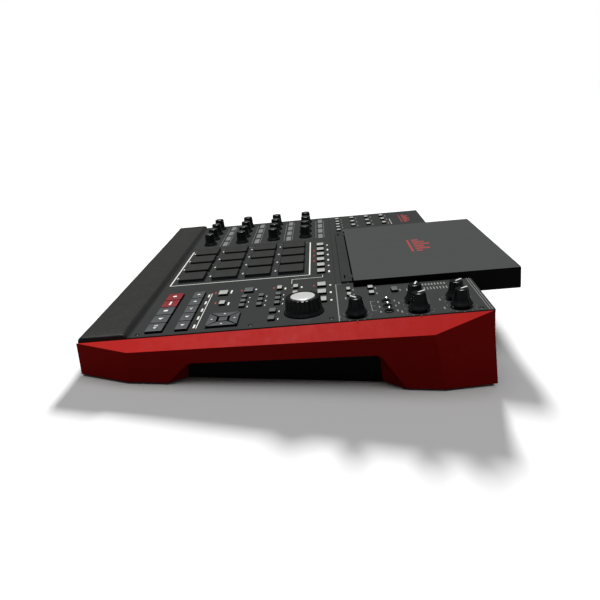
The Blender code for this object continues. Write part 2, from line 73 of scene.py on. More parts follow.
# ---------------- the panel's frame, from the CAD
JOINTS = {joint["name"]: joint for joint in frame["joints"]}
WHEEL = (204.5, 170.0)  # x and u of the data wheel's axis
WHEEL_JOINT = JOINTS["data_wheel_turn"]
SLOPE = math.atan2(-WHEEL_JOINT["axis"][1], WHEEL_JOINT["axis"][2])
PANEL = (Matrix.Translation(WHEEL_JOINT["pos_m"]) @ Matrix.Rotation(SLOPE, 4, 'X')
         @ Matrix.Translation((-WHEEL[0] * MM, WHEEL[1] * MM, 0.0)))
PANEL_INVERSE = PANEL.inverted()
PANEL_UP = PANEL.to_3x3().col[2].copy()
GRID = [f"r{row}c{column}" for row in range(1, 5) for column in range(1, 5)]


def local(x, u, w):
    return Vector((x * MM, -u * MM, w * MM))


def spot(x, u, w):
    return PANEL @ local(x, u, w)


def panel_place(point):
    """(x, u, w) in millimetres of a point of the row frame."""
    place = PANEL_INVERSE @ Vector(point) / MM
    return place.x, -place.y, place.z


def joint_place(name):
    """(x, u) of a control, from its joint."""
    x, u, _ = panel_place(JOINTS[name]["pos_m"])
    return x, u


def places_of(node):
    """Every vertex of a CAD node, as (x, u, w)."""
    return [panel_place(v.co) for v in frame["nodes"][node].data.vertices]


def middle_of(node):
    """Middle of a CAD node's box in the panel's frame."""
    places = places_of(node)
    return [(min(p[k] for p in places) + max(p[k] for p in places)) / 2 for k in range(3)]


# ---------------- material helpers
class Recipe:
    """A node material under construction."""

    def __init__(self, name):
        self.material = bpy.data.materials.new(name)
        self.material.use_nodes = True
        self.tree = self.material.node_tree
        self.shader = self.tree.nodes["Principled BSDF"]
        place = self.tree.nodes.new("ShaderNodeTexCoord")
        self.place = place.outputs["Object"]

    def node(self, kind, inputs=None, **settings):
        made = self.tree.nodes.new(kind)
        for key, value in settings.items():
            setattr(made, key, value)
        for key, value in (inputs or {}).items():
            self.set(made.inputs[key], value)
        return made

    def set(self, socket, value):
        if isinstance(value, bpy.types.NodeSocket):
            self.tree.links.new(value, socket)
        else:
            socket.default_value = value

    def noise(self, scale, detail=2.0, roughness=0.5):
        inputs = {"Vector": self.place, "Scale": scale, "Detail": detail, "Roughness": roughness}
        return self.node("ShaderNodeTexNoise", inputs).outputs["Fac"]

    def ramp(self, value, low, high, out_low=0.0, out_high=1.0):
        inputs = {"Value": value, "From Min": low, "From Max": high,
                  "To Min": out_low, "To Max": out_high}
        return self.node("ShaderNodeMapRange", inputs).outputs["Result"]

    def mix(self, factor, first, second):
        made = self.node("ShaderNodeMix", data_type='RGBA')
        self.set(made.inputs["Factor"], factor)
        self.set(made.inputs["A"], first)
        self.set(made.inputs["B"], second)
        return made.outputs["Result"]

    def finish(self, colour, roughness, normal):
        """Join up the shader and return the material."""
        for name, value in (("Base Color", colour), ("Roughness", roughness), ("Normal", normal)):
            self.set(self.shader.inputs[name], value)
        return self.material

    def bump(self, height, distance, strength=1.0, normal=None):
        inputs = {"Height": height, "Distance": distance, "Strength": strength}
        if normal is not None:
            inputs["Normal"] = normal
        return self.node("ShaderNodeBump", inputs).outputs["Normal"]


def rgba(colour, gain=1.0):
    return tuple(min(1.0, part * gain) for part in colour) + (1.0,)


def moulded(name, colour, roughness, grain=2200.0, depth=0.00003, mottle=0.12, wear=0.0,
            metallic=0.0, spread=0.07, specular=0.5):
    """Moulded or painted surface: fine grain and soft mottling, and with wear, paler edges."""
    recipe = Recipe(name)
    cloud = recipe.noise(38.0, 4.0, 0.6)
    shade = recipe.mix(recipe.ramp(cloud, 0.3, 0.7), rgba(colour, 1.0 - mottle),
                       rgba(colour, 1.0 + mottle))
    if wear:
        point = recipe.node("ShaderNodeNewGeometry").outputs["Pointiness"]
        edge = recipe.ramp(point, 0.52, 0.6, 0.0, wear)
        shade = recipe.mix(edge, shade, rgba(colour, 1.9))
    smudge = recipe.ramp(recipe.noise(90.0, 5.0, 0.65), 0.3, 0.7, roughness - spread,
                         roughness + spread)
    fine = recipe.noise(grain, 3.0, 0.6)
    recipe.shader.inputs["Metallic"].default_value = metallic
    recipe.shader.inputs["Specular IOR Level"].default_value = specular
    return recipe.finish(shade, smudge, recipe.bump(fine, depth))


def leatherette(name, colour):
    """Embossed vinyl: small closed cells over slow creases, with a soft sheen."""
    recipe = Recipe(name)
    warp = recipe.noise(300.0, 2.0)
    cells = recipe.node("ShaderNodeTexVoronoi", {"Vector": recipe.place, "Scale": 620.0},
                        feature='DISTANCE_TO_EDGE')
    pores = recipe.ramp(cells.outputs["Distance"], 0.0, 0.28)
    creases = recipe.noise(45.0, 5.0, 0.6)
    tone = recipe.mix(recipe.ramp(creases, 0.3, 0.7), rgba(colour, 0.82), rgba(colour, 1.2))
    tone = recipe.mix(recipe.ramp(pores, 0.0, 1.0, 0.2, 0.0), tone, rgba(colour, 0.5))
    recipe.shader.inputs["Sheen Weight"].default_value = 0.08
    recipe.shader.inputs["Sheen Roughness"].default_value = 0.5
    slow = recipe.bump(creases, 0.0006)
    return recipe.finish(tone, recipe.ramp(warp, 0.3, 0.7, 0.48, 0.62),
                         recipe.bump(pores, 0.00012, 0.7, slow))


SECTION_X = 125.5  # the panel's rear right section is right of this
SECTION_U = 137.3  # and behind this
SATIN_ROUGH, POLISHED_ROUGH = 0.55, 0.14
SATIN_GRAIN, POLISHED_GRAIN = 1.0, 0.1
SATIN_GAINS = (0.93, 1.07)
# colour gains of the rear right section: a painted reflection that makes it paler
SECTION_SHEEN_GAINS = (1.55, 1.65)


def sheet_finish(name, colour):
    """Painted sheet metal: satin, but glossy and painted paler as a reflection in its rear right
    section.
    """
    recipe = Recipe(name)
    place = recipe.node("ShaderNodeSeparateXYZ", {"Vector": recipe.place}).outputs
    edge_y = spot(0.0, SECTION_U, 0.0).y
    right = recipe.node("ShaderNodeMath", {0: place["X"], 1: SECTION_X * MM},
                        operation='GREATER_THAN').outputs[0]
    behind = recipe.node("ShaderNodeMath", {0: place["Y"], 1: edge_y},
                         operation='GREATER_THAN').outputs[0]
    section = recipe.node("ShaderNodeMath", {0: right, 1: behind}, operation='MULTIPLY').outputs[0]
    cloud = recipe.ramp(recipe.noise(38.0, 4.0, 0.6), 0.3, 0.7)
    satin = recipe.mix(cloud, *(rgba(colour, gain) for gain in SATIN_GAINS))
    # painted reflection: the rear right section's colour, made paler
    sheen_tone = recipe.mix(cloud, *(rgba(colour, gain) for gain in SECTION_SHEEN_GAINS))
    fine = recipe.noise(1500.0, 3.0, 0.6)
    grain = recipe.ramp(section, 0.0, 1.0, SATIN_GRAIN, POLISHED_GRAIN)
    recipe.shader.inputs["Specular IOR Level"].default_value = 0.35
    return recipe.finish(recipe.mix(section, satin, sheen_tone),
                         recipe.ramp(section, 0.0, 1.0, SATIN_ROUGH, POLISHED_ROUGH),
                         recipe.bump(fine, 0.00004, grain))


def brushed(name, colour, roughness):
    """Metal with fine streaks along one axis."""
    recipe = Recipe(name)
    stretch = recipe.node("ShaderNodeMapping", {"Vector": recipe.place,
                                                "Scale": (40.0, 2400.0, 40.0)})
    streaks = recipe.node("ShaderNodeTexNoise", {"Vector": stretch.outputs["Vector"], "Scale": 1.0,
                                                 "Detail": 3.0}).outputs["Fac"]
    recipe.shader.inputs["Metallic"].default_value = 1.0
    return recipe.finish(recipe.mix(streaks, rgba(colour, 0.85), rgba(colour, 1.1)),
                         recipe.ramp(streaks, 0.3, 0.7, roughness - 0.06, roughness + 0.08),
                         recipe.bump(streaks, 0.00001))


RED = moulded("red_plastic", (0.44, 0.010, 0.008), 0.5, 1500.0, 0.00002, 0.04, specular=0.06)
CASE = moulded("case_black", (0.006, 0.006, 0.007), 0.55, 1300.0, 0.00004, 0.15, specular=0.25)
CHARCOAL = moulded("panel_charcoal", (0.031, 0.033, 0.032), 0.55, 1500.0, 0.00004, 0.07,
                   specular=0.3)
SHEET = sheet_finish("panel_sheet", (0.031, 0.033, 0.032))
LEATHER = leatherette("palm_leatherette", (0.014, 0.0145, 0.0115))
# the palm pad's sides and rolled edges, painted near-black as shade
LEATHER_SHADE = leatherette("palm_painted_shade", (0.002, 0.002, 0.002))
SLAB_TOP = moulded("display_face", (0.062, 0.064, 0.064), 0.46, 1900.0, 0.00001, 0.015,
                   spread=0.02)
SLAB_SIDE = moulded("display_side", (0.003, 0.003, 0.003), 0.4, 1500.0, 0.00003, 0.1, specular=0.2)
PAD = moulded("pad_silicone", (0.029, 0.030, 0.028), 0.6, 900.0, 0.00004, 0.08, specular=0.3)
# pads' sides: a paler bluish band painted as a reflection, and black painted shade above it
PAD_SHEEN_BAND = moulded("pad_painted_reflection", (0.036, 0.046, 0.054), 0.5, 900.0, 0.00003)
PAD_SHADE_BAND = moulded("pad_painted_shade", (0.003, 0.003, 0.003), 0.6, 900.0, 0.00003, specular=0.15)
KNOB = moulded("knob_black", (0.005, 0.006, 0.007), 0.27, 1800.0, 0.00001, 0.1, wear=0.05)
# matte top discs of the knobs, painted paler as the light they catch
KNOB_LIT_TOP = moulded("knob_top_painted_light", (0.045, 0.048, 0.048), 0.5, 1800.0, 0.00001, 0.1)
KEY_DARK = moulded("key_grey", (0.085, 0.092, 0.094), 0.5, 1300.0, 0.00003, 0.08)
KEY_GREY = moulded("key_mid_grey", (0.13, 0.14, 0.14), 0.5, 1300.0, 0.00003, 0.08)
KEY_BLACK = moulded("key_skirt", (0.003, 0.003, 0.004), 0.5, 1300.0, 0.00003, specular=0.15)
KEY_PALE = moulded("key_pale", (0.46, 0.46, 0.44), 0.5, 1300.0, 0.00003, 0.06)
KEY_RED = moulded("key_red", (0.24, 0.022, 0.024), 0.5, 1300.0, 0.00003, 0.08)
SILVER = moulded("silver_disc", (0.86, 0.86, 0.85), 0.36, 2000.0, 0.00001, 0.03, metallic=0.35)
PRINT_WHITE, PRINT_GREY, PRINT_RED = (
    moulded("print_" + name, colour, 0.6, 1500.0, 0.00001, 0.06)
    for name, colour in (("white", (0.88, 0.88, 0.83)), ("grey", (0.30, 0.30, 0.29)),
                         ("red", (0.36, 0.055, 0.05))))
GROOVE = moulded("seam_black", (0.004, 0.004, 0.004), 0.7, 1500.0, 0.00001)
WINDOW = moulded("window_glass", (0.27, 0.27, 0.27), 0.3, 900.0, 0.00001, 0.05)
STEEL = brushed("steel", (0.62, 0.62, 0.63), 0.3)
CHROME = brushed("toggle_chrome", (0.8, 0.8, 0.82), 0.16)
RUBBER = moulded("foot_rubber", (0.012, 0.012, 0.012), 0.8, 900.0, 0.00005)
BOARD = moulded("circuit_board", (0.012, 0.07, 0.03), 0.4, 700.0, 0.00003)
LABEL = moulded("label_paper", (0.42, 0.42, 0.41), 0.5, 900.0, 0.00001, 0.03)
SCREW = moulded("screw_black", (0.006, 0.006, 0.006), 0.35, 1500.0, 0.00001)


# ---------------- mesh helpers
def mesh_of(bm, name):
    mesh = bpy.data.meshes.new(name)
    bm.to_mesh(mesh)
    bm.free()
    mesh.shade_smooth()
    return mesh


def finish_mesh(bm, name, smooth=40.0):
    """A mesh of a bmesh: its sides smooth up to an angle in degrees, its caps flat."""
    bmesh.ops.recalc_face_normals(bm, faces=bm.faces)
    mesh = mesh_of(bm, name)
    mesh.set_sharp_from_angle(angle=math.radians(smooth))
    for polygon in mesh.polygons:
        polygon.use_smooth = polygon.loop_total <= 4
    return mesh


def link(name, data):
    """A new object in the scene."""
    made = bpy.data.objects.new(name, data)
    bpy.context.scene.collection.objects.link(made)
    return made


def at(x, u):
    """Where a control's own axes stand on the panel."""
    return PANEL @ Matrix.Translation(local(x, u, 0.0))


def add_piece(name, mesh, body, slot, *materials, matrix=None, replaces=()):
    """Make an object of a mesh or a bmesh, dress it, and let it ride on a CAD body."""
    if isinstance(mesh, bmesh.types.BMesh):
        mesh = finish_mesh(mesh, name)
    piece = link(name, mesh)
    if materials and not mesh.materials:
        for material in materials:
            mesh.materials.append(material)
    piece.matrix_world = matrix if matrix is not None else Matrix.Identity(4)
    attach(piece, body)
    if replaces:
        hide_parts(*replaces)
    return piece


def rounded_plan(width, depth, radius, steps=4):
    """Outline of a rounded rectangle about the origin, as (x, u) pairs."""
    points = []
    for turn, (sx, su) in enumerate(((1, 1), (-1, 1), (-1, -1), (1, -1))):
        for step in range(steps + 1):
            angle = (turn + step / steps) * math.pi / 2
            points.append((sx * (width / 2 - radius) + radius * math.cos(angle),
                           su * (depth / 2 - radius) + radius * math.sin(angle)))
    return points


def stack(bm, rings, bored=False):
    """Skin a list of equal rings of points, from the lowest up, and cap both ends.

    Bored rings go once round the wall of an open bore, so the last of them joins the first.
    """
    loops = [[bm.verts.new(point) for point in ring] for ring in rings]
    if bored:
        loops.append(loops[0])
    for lower, upper in zip(loops, loops[1:]):
        for k in range(len(lower)):
            after = (k + 1) % len(lower)
            bm.faces.new((lower[k], lower[after], upper[after], upper[k]))
    if not bored:
        bm.faces.new(loops[0][::-1])
        bm.faces.new(loops[-1])


def add_cap(bm, x, u, size, levels, radius, to=spot, steps=4):
    """A rounded block: levels are (inset, w) from the bottom up."""
    rings = []
    for inset, w in levels:
        outline = rounded_plan(size[0] - 2 * inset, size[1] - 2 * inset,
                               max(radius - inset, 0.05), steps)
        rings.append([to(x + px, u - pu, w) for px, pu in outline])
    stack(bm, rings)


def circle(steps):
    """(cosine, sine) of every step of a full turn."""
    angles = [2 * math.pi * k / steps for k in range(steps)]
    return [(math.cos(angle), math.sin(angle)) for angle in angles]


def add_disc(bm, x, u, levels, to=spot, steps=20, bored=False):
    """A turned solid: levels are (radius, w) from the bottom up, or once round a bore's wall."""
    stack(bm, [[to(x + radius * c, u - radius * s, w) for c, s in circle(steps)]
               for radius, w in levels], bored)


def add_plate(bm, x, u, w, to=spot):
    """A thin box over ranges of x, u and w."""
    corners = ((x[0], u[1]), (x[1], u[1]), (x[1], u[0]), (x[0], u[0]))
    stack(bm, [[to(px, pu, pw) for px, pu in corners] for pw in w])


# ---------------- stage, light and camera
CAMERA_AT = Vector((0.78027, -0.00489, 0.26313))
CAMERA_TARGET = Vector((0.0, -0.01199, -0.00041))
CAMERA_ROLL = math.radians(1.09)
LENS = 38.4
SHIFT_X = -0.0064
FLOOR_SEEN, FLOOR_BOUNCED = 0.94, 0.12  # the floor's brightness for each kind of ray
SURROUND_SEEN, SURROUND_BOUNCED = 1.0, 0.06


def add_camera():
    data = bpy.data.cameras.new("camera")
    data.lens = LENS
    data.shift_x = SHIFT_X
    data.clip_start = 0.01
    camera = link("camera", data)
    aim = (CAMERA_TARGET - CAMERA_AT).to_track_quat('-Z', 'Y').to_matrix().to_4x4()
    camera.matrix_world = Matrix.Translation(CAMERA_AT) @ aim @ Matrix.Rotation(CAMERA_ROLL, 4, 'Z')
    bpy.context.scene.camera = camera


def add_light(name, source, softness, strength, floor, on_floor):
    """An even light from a direction, on the floor alone or on all but the floor.

    softness is its spread in degrees.
    """
    data = bpy.data.lights.new(name, 'SUN')
    data.angle = math.radians(softness)
    data.energy = strength
    light = link(name, data)
    light.rotation_euler = (-Vector(source)).to_track_quat('-Z', 'Y').to_euler()
    receivers = bpy.data.collections.new(name + "_receivers")
    receivers.objects.link(floor)
    receivers.collection_objects[0].light_linking.link_state = 'INCLUDE' if on_floor else 'EXCLUDE'
    light.light_linking.receiver_collection = receivers


def by_ray(tree, seen, bounced):
    """A value that the camera sees, and a dimmer one for light that bounces."""
    path = tree.nodes.new("ShaderNodeLightPath")
    mix = tree.nodes.new("ShaderNodeMix")
    tree.links.new(path.outputs["Is Camera Ray"], mix.inputs["Factor"])
    mix.inputs["A"].default_value = bounced
    mix.inputs["B"].default_value = seen
    return mix.outputs["Result"]


def add_stage():
    """Pale floor that bounces little, a white surround and soft lights from above."""
    bm = bmesh.new()
    bmesh.ops.create_grid(bm, x_segments=1, y_segments=1, size=30.0)
    floor = link("floor", mesh_of(bm, "floor"))
    paint = Recipe("floor_paint")
    paint.shader.inputs["Specular IOR Level"].default_value = 0.1
    paint.shader.inputs["Roughness"].default_value = 0.9
    value = by_ray(paint.tree, FLOOR_SEEN, FLOOR_BOUNCED)
    colour = paint.node("ShaderNodeCombineColor", {"Red": value, "Green": value, "Blue": value})
    paint.set(paint.shader.inputs["Base Color"], colour.outputs["Color"])
    floor.data.materials.append(paint.material)
    world = bpy.data.worlds.new("studio")
    world.use_nodes = True
    background = world.node_tree.nodes["Background"]
    background.inputs["Color"].default_value = (1.0, 1.0, 1.0, 1.0)
    strength = by_ray(world.node_tree, SURROUND_SEEN, SURROUND_BOUNCED)
    world.node_tree.links.new(strength, background.inputs["Strength"])
    bpy.context.scene.world = world
    add_light("key", (-0.06, -0.1, 1.0), 26.0, 3.5, floor, False)
    add_light("floor_key", (-1.9, 0.1, 1.0), 9.0, 5.3, floor, True)
    add_light("floor_top", (0.0, 0.0, 1.0), 60.0, 1.1, floor, True)
    bpy.context.scene.view_settings.view_transform = 'Standard'


# ---------------- pieces cut from CAD solids
SHARP_CORNER = 25.0  # edges that bend by more degrees than this are rounded
FLAT_JOINT = 0.5  # and those that bend by fewer than this are dissolved


def welded(node):
    """A CAD node's mesh with its split vertices joined, as a bmesh."""
    bm = bmesh.new()
    bm.from_mesh(frame["nodes"][node].data)
    bmesh.ops.remove_doubles(bm, verts=bm.verts, dist=1e-6)
    bmesh.ops.dissolve_limit(bm, angle_limit=math.radians(FLAT_JOINT), verts=bm.verts,
                             edges=bm.edges)
    return bm


def refined(node, slot, width, *materials, segments=3, paint=None, weigh=None, prepare=None):
    """A CAD solid with its corners rounded, which stands for the node.

    prepare changes the faces first, weigh sets each edge's share of the width, in place of
    one width for every corner, and paint chooses each face's material.
    """
    bm = welded(node)
    if prepare:
        prepare(bm)
    if weigh:
        weight = bm.edges.layers.float.new("bevel_weight_edge")
        for edge in bm.edges:
            edge[weight] = weigh(edge)
    if paint:
        for face in bm.faces:
            face.material_index = paint(face)
    piece = add_piece(node + "_fine", mesh_of(bm, node + "_fine"), frame["nodes"][node]["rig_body"],
                      slot, *materials, replaces=(node,))
    bevel = piece.modifiers.new("rounding", 'BEVEL')
    bevel.width = width * MM
    bevel.segments = segments
    bevel.limit_method = 'WEIGHT' if weigh else 'ANGLE'
    bevel.angle_limit = math.radians(SHARP_CORNER)
    shading = piece.modifiers.new("even_shading", 'WEIGHTED_NORMAL')
    shading.mode = 'FACE_AREA'
    shading.weight = 80
    shading.keep_sharp = False
    return piece


def dress(node, material):
    """Give a CAD node its material."""
    shown = frame["nodes"][node]
    if not shown.material_slots:
        shown.data.materials.append(material)
    for slot in shown.material_slots:
        slot.material = material


CHEEK_ROUND = 9.0  # width of the rounding on a cheek's upright corners
CHEEK_END = 0.6  # share of it on the long edges across the cheek
CHEEK_CREASE = 0.13  # share of it on the edges along the cheek
CHEEK_TIP = 0.02  # share of it on the short edges of the tunnelled corners
CHEEK_BEND = 9.0  # edges that bend by fewer degrees than this are part of a face
CHEEK_ALONG = 5.0  # edges with less width than this run along the cheek
CHEEK_SHORT = 24.0  # edges no longer than this are short
CHEEK_LONG = 250.0  # edges longer than this are cut
CHEEK_CUTS = 11
CHEEK_OUTER = 250.0  # the outer face lies beyond this


def even_sided(bm):
    """Rejoin the triangles of a cheek's twisted faces and cut those across into strips."""
    twist = math.radians(CHEEK_BEND)
    diagonals = []
    for edge in bm.edges:
        run = edge.verts[1].co - edge.verts[0].co
        slanted = abs(run.x) > CHEEK_ALONG * MM and run.length > CHEEK_LONG * MM
        joins_triangles = all(len(face.verts) == 3 for face in edge.link_faces)
        if joins_triangles and (slanted or edge.calc_face_angle(math.pi) < twist):
            diagonals.append(edge)
    bmesh.ops.dissolve_edges(bm, edges=diagonals)
    along = [e for e in bm.edges if e.calc_length() > CHEEK_LONG * MM]
    bmesh.ops.subdivide_edges(bm, edges=along, cuts=CHEEK_CUTS)


def cheek_corner(edge):
    """How much of CHEEK_ROUND an edge of a cheek gets."""
    bend = math.degrees(edge.calc_face_angle(0.0))
    if bend < CHEEK_BEND:
        return 0.0
    run = edge.verts[1].co - edge.verts[0].co
    if abs(run.x) < CHEEK_ALONG * MM:
        upright = abs(run.z) > 2 * abs(run.y) and run.length > CHEEK_SHORT * MM
        outer = abs(edge.verts[0].co.x) > CHEEK_OUTER * MM
        return 1.0 if upright and outer else CHEEK_CREASE
    beside = [e.calc_length() for v in edge.verts for e in v.link_edges
              if e is not edge and abs(e.verts[0].co.x - e.verts[1].co.x) < 1 * MM]
    return CHEEK_END if min(beside) > CHEEK_SHORT * MM else CHEEK_TIP


def add_casing():
    for side in ("right", "left"):
        refined(side + "_cheek", "cheek_red", CHEEK_ROUND, RED, segments=4, weigh=cheek_corner,
                prepare=even_sided)
        for end in ("front", "rear"):
            refined(f"foot_{end}_{side}", "foot_rubber", 0.5, RUBBER)
    refined("bottom_case", "case_black", 0.6, CASE)
    refined("hinge_cover", "hinge_plastic", 0.35, CHARCOAL, segments=2)
    for node, material in (("top_panel", SHEET), ("rear_panel", CASE), ("hinge_rod", STEEL),
                           ("main_board", BOARD)):
        dress(node, material)


# ---------------- palm rest
REST_CROWN = 1.1  # rise of the pad's middle over its edges
REST_ROUND = 4.6  # radius of its rolled edges
REST_END = 1.8  # how far its ends are pulled in
REST_END_STEPS = 6
REST_STEPS = 96  # parts of its length
REST_FRONT_STEPS = 10  # parts of its depth
REST_FLATNESS = 18  # the higher this power, the nearer to the ends the crown stays
REST_SLACK = 0.12  # height of the slow waves of its skin
REST_TOP_TILT = 0.93  # faces of the pad steeper than this cosine are painted near-black, as shade on its sides and rolled edges
REST_HELD = 2.0  # the pad's skin is glued down from here below its top
REST_HELD_ENDS = 4.0  # and this near to its ends
SWELL_STEPS = 20
SWELL_PRESSURE = 4.0
SWELL_LIMIT = 0.5  # the firm foam lets no point move further


def swell(mesh, held):
    """Let a pad's skin settle over its foam: cloth under pressure, held at some vertices."""
    body = link("swelling", mesh)
    body.vertex_groups.new(name="held").add(held, 1.0, 'REPLACE')
    cloth = body.modifiers.new("swelling", 'CLOTH')
    cloth.settings.vertex_group_mass = "held"
    cloth.settings.effector_weights.gravity = 0.0
    cloth.settings.use_pressure = True
    cloth.settings.uniform_pressure_force = SWELL_PRESSURE
    cloth.collision_settings.use_collision = False
    for step in range(1, SWELL_STEPS + 1):
        bpy.context.scene.frame_set(step)
    shaped = body.evaluated_get(bpy.context.evaluated_depsgraph_get())
    settled = [vertex.co.copy() for vertex in shaped.data.vertices]
    bpy.data.objects.remove(body)
    for vertex, place in zip(mesh.vertices, settled):
        move = place - vertex.co
        vertex.co += move * min(1.0, SWELL_LIMIT * MM / max(move.length, 1e-9))
    bpy.context.scene.frame_set(1)


def divided(outline):
    """An outline whose sides longer than 10 mm are cut into REST_FRONT_STEPS parts."""
    fine = []
    for k, (pu, pw) in enumerate(outline):
        nu, nw = outline[(k + 1) % len(outline)]
        parts = REST_FRONT_STEPS if abs(nu - pu) > 10 else 1
        for part in range(parts):
            share = part / parts
            fine.append((pu + (nu - pu) * share, pw + (nw - pw) * share))
    return fine


def add_palm_rest():
    """Foam under leatherette: crowned, rolled along its edges and pulled in at its ends."""
    low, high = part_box("palm_rest")
    x0, x1 = low.x / MM, high.x / MM
    places = places_of("palm_rest")
    u0, u1 = min(p[1] for p in places), max(p[1] for p in places)
    w0, w1 = min(p[2] for p in places), max(p[2] for p in places)
    middle_u, middle_w = (u0 + u1) / 2, (w0 + w1 - REST_CROWN) / 2
    depth, height = u1 - u0, w1 - w0 - REST_CROWN
    stations = []
    for k in range(REST_END_STEPS + 1):
        turn = k / REST_END_STEPS * math.pi / 2
        stations.append((x0 + REST_END * (1 - math.cos(turn)), REST_END * (1 - math.sin(turn))))
    middle = [(x0 + (x1 - x0) * k / REST_STEPS, 0.0) for k in range(2, REST_STEPS - 1)]
    stations = stations + middle + [(x0 + x1 - x, inset) for x, inset in reversed(stations)]
    rings = []
    for x, inset in stations:
        outline = rounded_plan(depth - 2 * inset, height - 2 * inset, REST_ROUND, steps=7)
        ends = 1 - (2 * (x - (x0 + x1) / 2) / (x1 - x0)) ** REST_FLATNESS
        ring = []
        for pu, pw in divided(outline):
            lift, slack = 0.0, 0.0
            if pw > 0:
                lift = REST_CROWN * max(0.0, 1 - (2 * pu / depth) ** 2) * ends
                slack = REST_SLACK * math.sin(x * 0.11 + pu * 0.2) * math.sin(x * 0.043)
            ring.append(spot(x, middle_u - pu, middle_w + pw + lift + slack))
        rings.append(ring)
    bm = bmesh.new()
    stack(bm, rings)
    bm.normal_update()
    for face in bm.faces:
        # steep faces get the near-black painted shade
        face.material_index = 0 if face.normal.dot(PANEL_UP) > REST_TOP_TILT else 1
    mesh = finish_mesh(bm, "palm_pad", 60.0)
    top = middle_w + height / 2 - REST_HELD
    ends_x = x1 * MM - REST_HELD_ENDS * MM
    held = [v.index for v in mesh.vertices
            if panel_place(v.co)[2] < top or abs(v.co.x) > ends_x]
    swell(mesh, held)
    pad = add_piece("palm_pad", mesh, "chassis", "palm_leather", LEATHER, LEATHER_SHADE,
                    replaces=("palm_rest",))


# ---------------- display
GLASS_FRONT = max(u for _, u, _ in places_of("display_glass"))
MARK_LENGTHS = (9.0, 15.0, 20.0, 12.0, 17.5, 7.0)  # bars of the plain mark on the display
MARK_X, MARK_U = -25.0, 36.0
MARK_PITCH = 10.4
MARK_BAR = 6.2


def display_paint(face):
    """Material 0 for the top of the display shell, 2 for that of its lugs, 1 for the rest."""
    if face.normal.dot(PANEL_UP) < 0.8:
        return 1
    on_lug = panel_place(face.calc_center_median())[1] > GLASS_FRONT + 2.0
    return 2 if on_lug else 0


def add_display():
    refined("display_shell", "display_plastic", 0.5, SLAB_TOP, SLAB_SIDE, CHARCOAL, segments=2,
            paint=display_paint)
    low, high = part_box("display_shell")
    places = places_of("display_shell")
    x0, x1 = low.x / MM, high.x / MM
    top = max(p[2] for p in places)
    u0 = min(p[1] for p in places)
    rim = min(u for _, u, _ in places_of("display_glass")) - u0
    u1 = GLASS_FRONT + rim
    bm = bmesh.new()
    levels = ((0.9, top - 0.3), (0.35, top), (0.15, top + 0.12), (0.4, top + 0.2))
    add_cap(bm, (x0 + x1) / 2, (u0 + u1) / 2, (x1 - x0, u1 - u0), levels, 1.4)
    mesh = finish_mesh(bm, "display_face", 50.0)
    add_piece("display_face", mesh, "display", "display_glass", SLAB_TOP,
              replaces=("display_glass",))
    marks = bmesh.new()
    face_w = (top + 0.15, top + 0.24)
    for k, length in enumerate(MARK_LENGTHS):
        x = MARK_X + MARK_PITCH * k
        add_plate(marks, (x, x + MARK_BAR), (MARK_U - length, MARK_U), face_w)
    add_plate(marks, (MARK_X, 33.2), (39.4, 42.0), face_w)
    add_piece("display_mark", marks, "display", "display_plastic", PRINT_RED)


# ---------------- pads
PAD_SIDE = 2.3  # black painted shade down a pad's rounded top edge and upper side, over a paler bluish band painted as a reflection


def add_pads():
    places = places_of("pad_r1c1")
    x_size = max(p[0] for p in places) - min(p[0] for p in places)
    u_size = max(p[1] for p in places) - min(p[1] for p in places)
    low, high = min(p[2] for p in places), max(p[2] for p in places)
    bm = bmesh.new()
    levels = [(0.0, low), (0.0, high - PAD_SIDE), (0.15, high - 1.1), (0.45, high - 0.45),
              (0.95, high - 0.1), (1.6, high)]
    add_cap(bm, 0.0, 0.0, (x_size, u_size), levels, 2.4, to=local, steps=5)
    # the top keeps the silicone, the rounded edge and upper side take black painted shade, the lower
    # side a painted reflection
    for face in bm.faces:
        centre = face.calc_center_median()
        face.material_index = 0 if centre.z > (high - 0.15) * MM else 1
        if centre.z < (high - PAD_SIDE) * MM:
            face.material_index = 2
    mesh = finish_mesh(bm, "pad_cap", 50.0)
    for cell in GRID:
        node = "pad_" + cell
        x, u, _ = middle_of(node)
        add_piece(node + "_cap", mesh, node, "pad_silicone", PAD, PAD_SHADE_BAND, PAD_SHEEN_BAND,
                  matrix=at(x, u), replaces=(node,))


# ---------------- knobs
def ribbed(name, profile, ribs, depth, span, steps_per_rib=4, top=None):
    """A turned knob, fluted between the w values of span, with its second material above top."""
    steps = ribs * steps_per_rib
    rings = []
    for radius, w in profile:
        fluted = span[0] < w < span[1]
        ring = []
        for k in range(steps):
            angle = 2 * math.pi * k / steps
            wave = 0.5 - 0.5 * math.cos(ribs * angle)
            here = radius - depth * wave ** 2 if fluted else radius
            ring.append(local(here * math.cos(angle), -here * math.sin(angle), w))
        rings.append(ring)
    bm = bmesh.new()
    stack(bm, rings)
    if top:
        for face in bm.faces:
            if face.calc_center_median().z > top * MM:
                face.material_index = 1
    return finish_mesh(bm, name, 35.0)


def add_link_knobs():
    profile = [(3.0, -9.0), (3.0, 0.6), (9.1, 0.6), (9.3, 1.0), (9.0, 1.8), (8.2, 2.8),
               (7.4, 3.8), (7.1, 5.0), (6.9, 8.0), (6.7, 11.5), (6.55, 14.8), (6.35, 15.7),
               (5.9, 16.2), (5.4, 16.35), (0.6, 16.2)]
    # the top disc takes the second material: matte, and painted paler as lit
    mesh = ribbed("link_knob_ribbed", profile, 10, 0.5, (4.5, 15.3), 6, top=16.25)
    for cell in GRID:
        node = "link_knob_" + cell
        x, u = joint_place(node + "_turn")
        add_piece(node + "_ribbed", mesh, node, "knob_black", KNOB, KNOB_LIT_TOP,
                  matrix=at(x, u), replaces=(node,))


POINTER_TURN = (130.0, 35.0, 35.0, 70.0, 40.0)  # each pot's setting in degrees, by number


